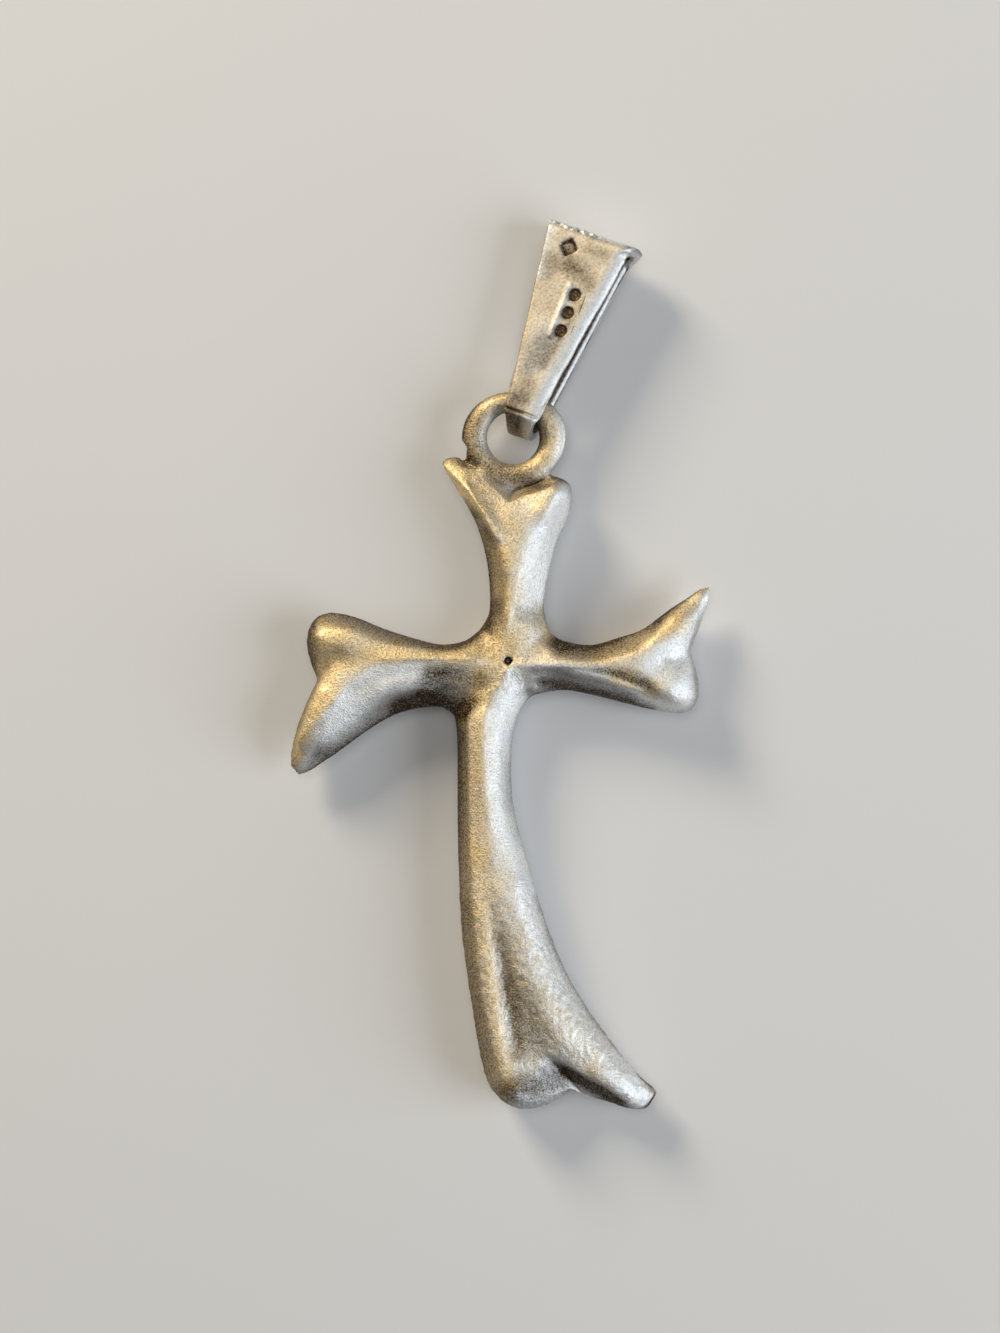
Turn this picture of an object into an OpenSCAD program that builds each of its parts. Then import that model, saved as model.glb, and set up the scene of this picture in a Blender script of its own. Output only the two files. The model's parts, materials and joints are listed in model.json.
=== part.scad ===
// Cast cross pendant with four forked arms, a soldered ring and a folded strap bail.
// Millimetres. It lies on its back on the XY plane, +Y runs from the cross to the bail.

/* [Cross] */
// Thickness of the cross from its lowest crest to its highest
cross_t = 3.2; // [2.4:0.1:4.4]
// Width of the crossing where the four arms meet
hub_w = 3.4; // [2.9:0.1:3.9]
// Reach of the top arm from the vent hole
top_reach = 10; // [9:0.1:12]
// Width of the top arm's fork from lobe to tip
top_fork = 6.5; // [5.6:0.1:7.5]
// Reach of the left arm from the vent hole
left_reach = 10.8; // [9.6:0.1:13]
// Width of the left arm's fork from lobe to tip
left_fork = 8.15; // [7.2:0.05:9.4]
// Reach of the bottom arm from the vent hole
bottom_reach = 22.4; // [18:0.25:28]
// Width of the bottom arm's fork from lobe to tip
bottom_fork = 9.85; // [8.8:0.05:11.2]
// Reach of the right arm from the vent hole
right_reach = 10; // [9:0.1:12]
// Width of the right arm's fork from lobe to tip
right_fork = 6.4; // [5.6:0.1:7.4]
// Diameter of the vent hole at the crossing
vent_d = 0.4; // [0.3:0.05:0.8]
// Depth of the vent hole below the top crest
vent_depth = 1.2; // [0.6:0.1:2]

/* [Ring] */
// Outer diameter of the soldered ring
ring_d = 5.1; // [4.8:0.1:6]
// Thickness of the ring's wire
wire_d = 1.25; // [1:0.05:1.4]
// Depth that the ring sinks into the end of the top arm at the notch
ring_seat = 0.7; // [0.4:0.05:0.9]
// Sideways place of the ring's centre from the vent hole
ring_side = 0.25; // [-0.2:0.05:0.6]

/* [Bail] */
// Length of the bail from bend to bend
bail_l = 10.7; // [8:0.05:14]
// Width of the strap at its top fold
bail_w = 4.5; // [3.6:0.1:5.6]
// Width of the strap beside the seam
seam_w = 1.8; // [1.5:0.05:2.2]
// Width of the tab at the bottom bend
tab_w = 1.1; // [0.8:0.05:1.4]
// Length of the tab from the bottom bend to the seam
tab_l = 1.65; // [1.3:0.05:2]
// Thickness of the strap
strap_t = 0.45; // [0.3:0.05:0.6]
// Inner radius of the top fold
fold_r = 0.58; // [0.4:0.02:0.8]
// Length by which the fold's right end bulges past the strap's edge
fold_flare = 0.25; // [0.1:0.05:0.4]
// Clearance between the ring's wire and each leg of the strap
bail_clear = 0.08; // [0.05:0.01:0.2]
// Free play between the wire and the bottom bend
bail_play = 0.7; // [0.4:0.05:1]
// Sideways place of the bail on the ring
bail_side = 0.26; // [0:0.02:0.4]
// Angle by which the bail leans to the right
bail_lean = 20.5; // [0:0.5:30]
// Angle by which the bail is rolled about its own length
bail_roll = 14; // [5:0.5:16]
// Width of the seam groove
seam_gap = 0.14; // [0.08:0.02:0.2]
// Depth of the seam groove and of the punch marks
mark_depth = 0.12; // [0.08:0.01:0.16]
// Distance between neighbouring dots of the punched row
dot_pitch = 0.95; // [0.8:0.05:1.2]
// Diameter of each dot of the punched row
dot_d = 0.62; // [0.4:0.02:0.7]
// Side of the lozenge punch near the fold
lozenge_w = 0.7; // [0.4:0.05:0.9]

/* [Hidden] */
$fn = 64;

// Length by which a cut runs past the face that it opens
CUT = 0.5;

// Steps of the cross's skin: from edge to rib, from rib to middle, along an arm and down its end
EDGE_STEPS = 5;
RIB_STEPS = 3;
ARM_STEPS = 24;
END_STEPS = 5;
HALF = EDGE_STEPS + RIB_STEPS;
ACROSS = 2*HALF;
// Share of the arm's end slope that is round, the rest of it is straight
END_ROUND = 0.6;
// Crest height of the crossing, and height of its flanks half way down, as shares of half cross_t
HUB_CREST = 0.87;
HUB_FLANK = 0.64;
// Share of the crossing's valleys that is a sharp mitre, the rest of it is rounded
MITRE = 0.6;

// Crossing, as shares of hub_w: the four inner corners, and the crest on each of its four sides
// side order is top, left, bottom, right, and corner i lies just before side i, turning left
HUB_CORNERS = [[0.60, 0.43], [-0.41, 0.46], [-0.79, -0.79], [0.34, -0.51]];
HUB_CRESTS = [[-0.03, 0.44], [-0.59, 0.06], [-0.28, -0.44], [0.50, -0.04]];

// Sections of each arm, from the crossing outwards. Along is a share of the arm's reach, across a
// share of its fork, and up a share of half cross_t. The lobe side is negative across.
// columns: lobe edge along and across, lobe rib along, across and up, middle along, across and up,
// tip rib along, across and up, tip edge along and across
TOP_ARM = [
  [0.21, -0.29,   0.215, -0.04, 0.84,   0.215, 0.00, 0.88,   0.215, 0.04, 0.84,   0.215, 0.16],
  [0.28, -0.275,  0.28, -0.05, 0.86,    0.28, -0.01, 0.89,   0.28, 0.02, 0.86,    0.28, 0.14],
  [0.43, -0.315,  0.43, -0.075, 0.89,   0.435, -0.02, 0.88,  0.43, 0.025, 0.89,   0.43, 0.15],
  [0.58, -0.375,  0.585, -0.16, 0.94,   0.58, -0.04, 0.83,   0.575, 0.075, 0.93,  0.57, 0.19],
  [0.71, -0.46,   0.725, -0.27, 1.00,   0.69, -0.045, 0.76,  0.705, 0.17, 0.95,   0.71, 0.265],
  [0.80, -0.49,   0.83, -0.36, 0.95,    0.79, -0.06, 0.68,   0.84, 0.29, 0.75,    0.85, 0.39],
  [0.86, -0.48,   0.915, -0.36, 0.90,   0.92, -0.045, 0.60,  1.00, 0.385, 0.60,   0.98, 0.515]
];
LEFT_ARM = [
  [0.195, -0.125, 0.215, -0.07, 0.72,   0.24, -0.02, 0.89,   0.265, 0.135, 0.68,  0.28, 0.30],
  [0.305, -0.10,  0.31, -0.06, 0.74,    0.315, -0.02, 0.91,  0.325, 0.125, 0.72,  0.325, 0.28],
  [0.435, -0.14,  0.44, -0.08, 0.78,    0.445, -0.02, 0.93,  0.445, 0.125, 0.76,  0.435, 0.295],
  [0.565, -0.195, 0.58, -0.11, 0.88,    0.565, -0.01, 0.94,  0.565, 0.125, 0.84,  0.545, 0.345],
  [0.695, -0.265, 0.715, -0.165, 0.99,  0.675, 0.00, 0.85,   0.695, 0.125, 0.93,  0.66, 0.44],
  [0.805, -0.295, 0.85, -0.16, 0.97,    0.79, 0.025, 0.74,   0.845, 0.33, 0.88,   0.795, 0.57],
  [0.87, -0.275,  0.925, -0.125, 0.90,  0.875, 0.115, 0.65,  0.99, 0.505, 0.70,   0.955, 0.705]
];
BOTTOM_ARM = [
  [0.148, -0.26,  0.135, -0.20, 0.70,   0.117, -0.12, 0.91,  0.112, -0.035, 0.68, 0.112, 0.063],
  [0.20, -0.255,  0.198, -0.20, 0.71,   0.193, -0.127, 0.94, 0.189, -0.055, 0.70, 0.184, 0.02],
  [0.315, -0.255, 0.315, -0.193, 0.74,  0.315, -0.112, 0.95, 0.315, -0.04, 0.72,  0.315, 0.025],
  [0.45, -0.25,   0.45, -0.18, 0.83,    0.454, -0.065, 0.90, 0.456, 0.03, 0.82,   0.454, 0.107],
  [0.59, -0.235,  0.59, -0.157, 0.93,   0.59, -0.055, 0.80,  0.593, 0.10, 0.91,   0.59, 0.20],
  [0.73, -0.193,  0.737, -0.12, 0.96,   0.733, 0.015, 0.74,  0.737, 0.223, 0.97,  0.724, 0.335],
  [0.855, -0.147, 0.872, -0.055, 0.97,  0.845, 0.07, 0.72,   0.863, 0.415, 0.92,  0.867, 0.563],
  [0.926, -0.107, 0.953, 0.01, 0.93,    0.89, 0.173, 0.70,   0.95, 0.60, 0.70,    0.945, 0.716],
  [0.964, -0.05,  0.992, 0.11, 0.90,    0.95, 0.32, 0.65,    0.99, 0.65, 0.60,    0.968, 0.745]
];
RIGHT_ARM = [
  [0.20, -0.24,   0.21, -0.11, 0.70,    0.22, -0.03, 0.89,   0.23, 0.01, 0.86,    0.235, 0.19],
  [0.29, -0.227,  0.285, -0.105, 0.72,  0.28, -0.04, 0.90,   0.28, 0.00, 0.87,    0.28, 0.156],
  [0.42, -0.266,  0.42, -0.133, 0.78,   0.42, -0.055, 0.91,  0.42, -0.015, 0.88,  0.41, 0.125],
  [0.56, -0.32,   0.57, -0.195, 0.88,   0.56, -0.05, 0.92,   0.56, 0.03, 0.90,    0.54, 0.18],
  [0.69, -0.37,   0.73, -0.22, 0.98,    0.67, -0.03, 0.85,   0.68, 0.094, 0.93,   0.67, 0.25],
  [0.80, -0.40,   0.85, -0.28, 0.95,    0.80, -0.01, 0.72,   0.81, 0.29, 0.82,    0.80, 0.40],
  [0.86, -0.406,  0.945, -0.273, 0.90,  0.905, 0.086, 0.65,  0.98, 0.40, 0.65,    1.00, 0.595]
];

// Arms: direction in degrees, reach, fork, sections, and how high the two side walls stand, as
// shares of the rib beside them, first on the lobe side and then on the tip side
ARMS = [
  [90, top_reach, top_fork, TOP_ARM, 0.35, 0.30],
  [180, left_reach, left_fork, LEFT_ARM, 0.50, 0.45],
  [270, bottom_reach, bottom_fork, BOTTOM_ARM, 0.60, 0.45],
  [0, right_reach, right_fork, RIGHT_ARM, 0.55, 0.35]
];

// Point on an arm, from shares along and across it and a height
function arm_point(arm, along, across, up) =
  let (a = along*arm[1], b = across*arm[2])
  [a*cos(arm[0]) - b*sin(arm[0]), a*sin(arm[0]) + b*cos(arm[0]), up];

// One section as five points: lobe edge, lobe rib, middle, tip rib and tip edge
function arm_section(arm, row) = [
  arm_point(arm, row[0], row[1], arm[4]*row[4]),
  arm_point(arm, row[2], row[3], row[4]),
  arm_point(arm, row[5], row[6], row[7]),
  arm_point(arm, row[8], row[9], row[10]),
  arm_point(arm, row[11], row[12], arm[5]*row[10])
];

// The section where an arm leaves the crossing, between two of its corners
function hub_section(i) =
  let (arm = ARMS[i], lobe = hub_w*HUB_CORNERS[i], tip = hub_w*HUB_CORNERS[(i + 1) % 4],
       crest = hub_w*HUB_CRESTS[i], lobe_rib = (lobe + crest)/2, tip_rib = (tip + crest)/2)
  [[lobe.x, lobe.y, arm[4]*HUB_FLANK], [lobe_rib.x, lobe_rib.y, HUB_FLANK],
   [crest.x, crest.y, HUB_CREST], [tip_rib.x, tip_rib.y, HUB_FLANK],
   [tip.x, tip.y, arm[5]*HUB_FLANK]];

// Smooth curve through four neighbouring values, at t between the second and the third
function spline(p, q, r, s, t) =
  q + (r - p)*t/2 + (2*p - 5*q + 4*r - s)*t*t/2 + (3*q - 3*r + s - p)*t*t*t/2;

// Section at place v, counted in rows of the list of sections
function section_at(rows, v) =
  let (last = len(rows) - 1, i = min(floor(v), last - 1))
  spline(rows[max(i - 1, 0)], rows[i], rows[i + 1], rows[min(i + 2, last)], v - i);

// Round rise from 0 to 1 as t goes from 0 to 1, upright at 0 and level at 1
function round_rise(t) = t < 1 ? sqrt(max(t*(2 - t), 0)) : 1;

// Places across half a section: 0 at the edge, 1 at the rib, 2 in the middle
HALF_PLACES = [
  for (k = [0:EDGE_STEPS - 1]) 1 - cos(90*k/EDGE_STEPS),
  for (k = [0:RIB_STEPS - 1]) 1 + k/RIB_STEPS
];
PLACES = [
  for (k = [0:HALF - 1]) [0, HALF_PLACES[k]],
  [0, 2],
  for (k = [HALF - 1:-1:0]) [1, HALF_PLACES[k]]
];

// Point of a section: side is 0 for the lobe and 1 for the tip, bow rounds the outline near the end
function skin_point(section, place, bow, drop) =
  let (side = place[0], t = place[1], edge = section[side == 0 ? 0 : 4],
       rib = section[side == 0 ? 1 : 3], middle = section[2],
       f = t < 1 ? t : t - 1,
       flat = t < 1 ? edge*(1 - f) + rib*f : rib*(1 - f) + middle*f,
       bend = (edge - 2*rib + middle)*(f*(1 - f)/2*bow),
       rise = round_rise(t),
       up = side == 0 ? rise*drop : min(rise, drop))
  [flat.x - bend.x, flat.y - bend.y, flat.z*up];

// Place along an arm of skin row k, in rows of its list, and how far the end slope has dropped
function row_place(k, last) =
  let (body = ARM_STEPS - END_STEPS)
  k <= body ? (last - 1)*k/body : last - cos(90*(k - body)/END_STEPS);
function row_drop(k) =
  let (body = ARM_STEPS - END_STEPS, t = k <= body ? 1 : cos(90*(k - body)/END_STEPS))
  END_ROUND*round_rise(t) + (1 - END_ROUND)*t;

function arm_rows(i) = concat([hub_section(i)], [for (row = ARMS[i][3]) arm_section(ARMS[i], row)]);

// Skin of an arm outside the crossing, row by row
function arm_skin(i) =
  let (rows = arm_rows(i), last = len(rows) - 1)
  [for (k = [1:ARM_STEPS])
    let (v = row_place(k, last), section = section_at(rows, v), bow = min(v/last, 1)^3)
    for (place = PLACES) skin_point(section, place, bow, row_drop(k))];

// Skin of the crossing. In plan its four sides are blended, and then pulled, most in the middle, so
// that the crests meet at the vent hole. A place counts 0 at an edge, 1 at a rib and 2 on a crest.
HUB_SIDES = [for (i = [0:3]) [for (place = PLACES) skin_point(hub_section(i), place, 0, 1)]];
function side_share(i) = i < HALF ? PLACES[i][1]/4 : 1 - PLACES[i][1]/4;
function hub_plan(i, j) =
  let (u = side_share(i), v = side_share(j),
       top = HUB_SIDES[0][ACROSS - i], left = HUB_SIDES[1][ACROSS - j],
       bottom = HUB_SIDES[2][i], right = HUB_SIDES[3][j],
       corners = HUB_SIDES[0][ACROSS]*(1 - u)*v + HUB_SIDES[0][0]*u*v
         + HUB_SIDES[2][0]*(1 - u)*(1 - v) + HUB_SIDES[2][ACROSS]*u*(1 - v))
  bottom*(1 - v) + top*v + left*(1 - u) + right*u - corners;

// Drop below the crest at a place whose side wall stands wall high
function flank_drop(t, wall) =
  HUB_CREST - (t < 1 ? HUB_FLANK*(wall + (1 - wall)*t) : HUB_FLANK + (HUB_CREST - HUB_FLANK)*(t - 1));

// Place that starts level where the other crest's flank is near, and true at its own side
function eased(t, other) = t + (t*t/2 - t)*min(other, 1)^2;

// Height of the crossing at places t and s of two arms, with the heights of their side walls
function hub_rise(t, s, wall_t, wall_s) =
  let (a = flank_drop(eased(t, s), wall_t), b = flank_drop(eased(s, t), wall_s),
       full_t = flank_drop(0, wall_t), full_s = flank_drop(0, wall_s),
       full = t + s > 0 ? (full_s*t + full_t*s)/(t + s) : full_t,
       drop = MITRE*min(a, b) + (1 - MITRE)*a*b/full)
  (HUB_CREST - drop)*round_rise(norm([t, s]));

function hub_point(i, j) =
  let (u = side_share(i), v = side_share(j), p = hub_plan(i, j), c = hub_plan(HALF, HALF),
       pull = 16*u*(1 - u)*v*(1 - v),
       t = PLACES[i][1], s = PLACES[j][1],
       low = ARMS[2][i < HALF ? 4 : 5], high = ARMS[0][i < HALF ? 5 : 4],
       near = ARMS[1][j < HALF ? 5 : 4], far = ARMS[3][j < HALF ? 4 : 5])
  [p.x - c.x*pull, p.y - c.y*pull,
   hub_rise(t, s, low*(1 - v) + high*v, near*(1 - u) + far*u)];

ROW = ACROSS + 1;
UPPER = concat(
  [for (j = [0:ACROSS]) for (i = [0:ACROSS]) hub_point(i, j)],
  [for (i = [0:3]) each arm_skin(i)]
);
COUNT = len(UPPER);

// Number of a skin point: of the crossing, and of arm i at row r and place k across it
function hub_id(i, j) = j*ROW + i;
function arm_id(i, r, k) =
  r > 0 ? ROW*ROW + (i*ARM_STEPS + r - 1)*ROW + k
  : i == 0 ? hub_id(ACROSS - k, ACROSS)
  : i == 1 ? hub_id(0, ACROSS - k)
  : i == 2 ? hub_id(k, 0)
  : hub_id(ACROSS, k);
QUADS = [
  for (i = [0:ACROSS - 1]) for (j = [0:ACROSS - 1])
    [hub_id(i, j), hub_id(i, j + 1), hub_id(i + 1, j + 1), hub_id(i + 1, j)],
  for (i = [0:3]) for (r = [0:ARM_STEPS - 1]) for (k = [0:ACROSS - 1])
    [arm_id(i, r, k), arm_id(i, r, k + 1), arm_id(i, r + 1, k + 1), arm_id(i, r + 1, k)]
];
// Points on the outline belong to both skins, the others have a twin on the underside
function on_outline(id) = UPPER[id].z < 0.0001;
function under(id) = on_outline(id) ? id : id + COUNT;
// Each quad is two triangles, split so that none of them lies flat between the two skins
UPPER_FACES = [
  for (q = QUADS) each on_outline(q[0]) && on_outline(q[2])
    ? [[q[0], q[1], q[3]], [q[1], q[2], q[3]]]
    : [[q[0], q[1], q[2]], [q[0], q[2], q[3]]]
];
UNDER_FACES = [for (f = UPPER_FACES) [under(f[2]), under(f[1]), under(f[0])]];

// Ring: its outer edge sinks into the end of the top arm at the notch
NOTCH = arm_point(ARMS[0], TOP_ARM[len(TOP_ARM) - 1][5], TOP_ARM[len(TOP_ARM) - 1][6], 0);
RING_C = [ring_side, NOTCH.y - ring_seat + ring_d/2];
RING_R = (ring_d - wire_d)/2;

// Bail, in its own frame: +Y along it from the ring's centre line, +Z out of its front leg
WIRE_Y = sqrt(RING_R*RING_R - bail_side*bail_side);
TAB_Y = WIRE_Y - wire_d/2 - bail_play - strap_t;
FOLD_Y = TAB_Y + bail_l;
SEAM_Y = TAB_Y + tab_l;
// Half gap between the legs: it passes the wire, which crosses the rolled strap at a slant
GAP_R = wire_d/2/cos(bail_roll) + seam_w/2*tan(bail_roll) + bail_clear;
BEND_Y = TAB_Y + strap_t + GAP_R;
TOP_Y = FOLD_Y - strap_t - fold_r;
// Places of the marks along the front leg, as shares of the length above the seam
DOTS_Y = SEAM_Y + 0.53*(FOLD_Y - SEAM_Y);
LOZENGE_Y = SEAM_Y + 0.86*(FOLD_Y - SEAM_Y);
// The lozenge stands left of the strap's middle
LOZENGE_X = -bail_w/8;
// Angle of each leg to the bail's middle plane
LEG_A = asin((GAP_R - fold_r)/(TOP_Y - BEND_Y));

// Width of the strap at a length along the bail, between the seam and the fold
function strap_w(y) = seam_w + (bail_w - seam_w)*(y - SEAM_Y)/(FOLD_Y - SEAM_Y);

// Half height of the rolled bail at that length, where its legs leave room r inside
function bail_half(y, r) = (r + strap_t)*cos(bail_roll) + strap_w(y)/2*sin(bail_roll);

// The frame's origin stands below the middle of the whole pendant, on what reaches lowest
BACK = max(cross_t/2*max([for (p = UPPER) p.z]), bail_half(SEAM_Y, GAP_R), bail_half(TOP_Y, fold_r));
// Highest corner of the bail, at the left end of its fold
BAIL_TOP = RING_C.y - bail_side*sin(bail_lean) + FOLD_Y*cos(bail_lean)
  + bail_w/2*cos(bail_roll)*sin(bail_lean);
EDGE_X = [for (p = UPPER) p.x];
EDGE_Y = [for (p = UPPER) p.y];
MIDDLE = [(min(EDGE_X) + max(EDGE_X))/2, (min(EDGE_Y) + BAIL_TOP)/2];

module placed() {
  translate([-MIDDLE.x, -MIDDLE.y, BACK]) children();
}

module cast_body() {
  polyhedron(
    points = concat([for (p = UPPER) [p.x, p.y, p.z*cross_t/2]],
                    [for (p = UPPER) [p.x, p.y, -p.z*cross_t/2]]),
    faces = concat(UPPER_FACES, UNDER_FACES)
  );
}

module ring() {
  translate([RING_C.x, RING_C.y, 0])
    rotate_extrude()
      translate([RING_R, 0]) circle(d = wire_d);
}

module vent() {
  translate([0, 0, cross_t/2*HUB_CREST - vent_depth])
    cylinder(d = vent_d, h = vent_depth + CUT);
}

module cross() {
  color([0.75, 0.72, 0.66])
  placed()
    difference() {
      union() {
        cast_body();
        ring();
      }
      vent();
    }
}

// Side view of a loop: two round bends joined by straight legs, each bend leaving room r
module loop_side(bend_r, top_r) {
  translate([BEND_Y, 0]) circle(bend_r);
  translate([TOP_Y, 0]) circle(top_r);
  polygon([
    [BEND_Y + bend_r*sin(LEG_A), -bend_r*cos(LEG_A)], [TOP_Y + top_r*sin(LEG_A), -top_r*cos(LEG_A)],
    [TOP_Y + top_r*sin(LEG_A), top_r*cos(LEG_A)], [BEND_Y + bend_r*sin(LEG_A), bend_r*cos(LEG_A)]
  ]);
}

// Front view of the strap: narrow tab, then a straight taper that flares at the fold
module strap_front() {
  flare_x = bail_w/2 + fold_flare;
  flare_y = FOLD_Y - strap_t - fold_r/2;
  polygon([
    [-tab_w/2, TAB_Y - CUT], [tab_w/2, TAB_Y - CUT], [tab_w/2, TAB_Y], [seam_w/2, SEAM_Y],
    [strap_w(flare_y)/2, flare_y], [flare_x, FOLD_Y - strap_t/2], [flare_x, FOLD_Y],
    [-bail_w/2, FOLD_Y], [-seam_w/2, SEAM_Y], [-tab_w/2, TAB_Y]
  ]);
}

// Cuts into the front leg: its frame lies on the outer face of that leg
module on_front_leg(y) {
  translate([0, BEND_Y, 0])
    rotate([-LEG_A, 0, 0])
      translate([0, (y - BEND_Y)/cos(LEG_A), GAP_R + strap_t])
        children();
}

module marks() {
  on_front_leg(SEAM_Y)
    translate([-bail_w/2, -seam_gap/2, -mark_depth])
      cube([bail_w, seam_gap, 2*mark_depth]);
  on_front_leg(DOTS_Y)
    for (k = [-1:1])
      translate([0, k*dot_pitch, -mark_depth])
        cylinder(d = dot_d, h = 2*mark_depth);
  on_front_leg(LOZENGE_Y)
    translate([LOZENGE_X, 0, 0])
      rotate([0, 0, 45])
        cube([lozenge_w, lozenge_w, 2*mark_depth], center = true);
}

module strap_loop() {
  difference() {
    intersection() {
      rotate([90, 0, 90])
        linear_extrude(bail_w + 4*fold_flare, center = true)
          difference() {
            loop_side(GAP_R + strap_t, fold_r + strap_t);
            loop_side(GAP_R, fold_r);
          }
      linear_extrude(4*(GAP_R + strap_t), center = true)
        strap_front();
    }
    marks();
  }
}

module bail() {
  color([0.78, 0.75, 0.69])
  placed()
    translate([RING_C.x, RING_C.y, 0])
      rotate([0, 0, -bail_lean])
        translate([bail_side, 0, 0])
          rotate([0, -bail_roll, 0])
            strap_loop();
}

cross();
bail();
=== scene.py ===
"""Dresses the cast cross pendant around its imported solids.

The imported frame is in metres. Shapes are worked in millimetres: the cross from its vent hole, with x
towards the right arm, y towards the bail and z up from the middle plane, and the bail from the middle
of its fold, with x across the strap, y along it and z out of its front leg.
"""

import json
import logging
from dataclasses import dataclass, field
from enum import Enum

import bmesh
import bpy
import numpy as np
from mathutils import Matrix, Vector, noise


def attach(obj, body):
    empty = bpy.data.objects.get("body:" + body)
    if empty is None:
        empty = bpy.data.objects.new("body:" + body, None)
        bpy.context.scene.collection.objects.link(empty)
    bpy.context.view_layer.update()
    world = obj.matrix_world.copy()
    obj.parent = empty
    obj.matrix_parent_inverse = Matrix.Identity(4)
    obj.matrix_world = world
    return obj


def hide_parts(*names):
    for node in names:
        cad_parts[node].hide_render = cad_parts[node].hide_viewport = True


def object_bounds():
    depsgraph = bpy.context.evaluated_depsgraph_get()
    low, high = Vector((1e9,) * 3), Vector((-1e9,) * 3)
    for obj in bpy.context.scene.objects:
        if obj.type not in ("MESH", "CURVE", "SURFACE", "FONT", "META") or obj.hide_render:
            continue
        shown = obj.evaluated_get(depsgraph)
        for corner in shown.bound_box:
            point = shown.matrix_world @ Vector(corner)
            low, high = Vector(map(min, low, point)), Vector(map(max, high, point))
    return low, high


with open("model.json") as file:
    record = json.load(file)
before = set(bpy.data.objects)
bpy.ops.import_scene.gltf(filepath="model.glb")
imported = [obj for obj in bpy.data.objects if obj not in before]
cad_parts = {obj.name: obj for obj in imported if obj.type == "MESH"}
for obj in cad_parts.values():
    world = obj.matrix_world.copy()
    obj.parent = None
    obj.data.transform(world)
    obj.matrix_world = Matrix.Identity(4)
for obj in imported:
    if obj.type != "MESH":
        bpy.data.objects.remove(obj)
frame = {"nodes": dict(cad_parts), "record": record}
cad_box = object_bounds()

MM = 0.001
# Duplicates in a node's loose triangles lie closer than this, in metres
MERGE = 1e-7
# Rounds of smoothing that take the steps out of a new skin
SKIN_ROUNDS = 2
# Least square of a stroke's length, so that a single point counts as a stroke
SHORTEST = 1e-9

# A place seen from above, or the start and end of a range
Pair = tuple[float, float]
Colour = tuple[float, float, float]
# What a node gives, and what its inputs take
Socket = bpy.types.NodeSocket
Inputs = dict[str | int, Socket | tuple[float, ...] | float]

log = logging.getLogger("pendant")


class Layer(Enum):
    """Vertex layers that tell a finish how the metal has aged and where light and shade are painted on it.

    PATINA_AND_SHADE runs from bare metal to brown, with painted shade as well as tarnish.
    TONE_AND_REFLECTION runs from a painted lilac grey reflection over silver and beige to gold, with
    painted warm and cool reflections as well as tarnish tone.
    """

    PATINA_AND_SHADE = "patina_and_shade"
    TONE_AND_REFLECTION = "tone_and_reflection"


def step(values: np.ndarray, start: np.ndarray | float, end: np.ndarray | float) -> np.ndarray:
    """Rises smoothly from 0 at start to 1 at end.

    Args:
        values: The numbers to grade.
        start: Where the rise begins, for all of them or for each.
        end: Where it ends, which may be below start.

    Returns:
        One share from 0 to 1 for each value.
    """
    t = np.clip((values - start) / (end - start), 0.0, 1.0)
    return t * t * (3.0 - 2.0 * t)


@dataclass(frozen=True)
class Stroke:
    """A soft-edged stroke through a row of points, seen from above."""

    radius: float
    strength: float
    path: tuple[Pair, ...]

    def weight(self, points: np.ndarray) -> np.ndarray:
        """Finds how strongly the stroke reaches each point.

        Args:
            points: Places in the working frame, one row each.

        Returns:
            One weight for each point, the strength on the stroke's line and 0 past twice its radius.
        """
        away = np.full(len(points), np.inf)
        for start, end in zip(self.path, self.path[1:] or self.path):
            along = np.subtract(end, start)
            length = max(float(along @ along), SHORTEST)
            t = np.clip((points[:, :2] - start) @ along / length, 0.0, 1.0)
            away = np.minimum(away, np.linalg.norm(points[:, :2] - start - t[:, None] * along, axis=1))
        return self.strength * step(away, 2.0 * self.radius, 0.0)


def strokes(*rows: tuple[float | Pair, ...]) -> tuple[Stroke, ...]:
    """Turns rows of radius, strength and points into strokes."""
    return tuple(Stroke(radius, strength, tuple(path)) for radius, strength, *path in rows)


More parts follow.
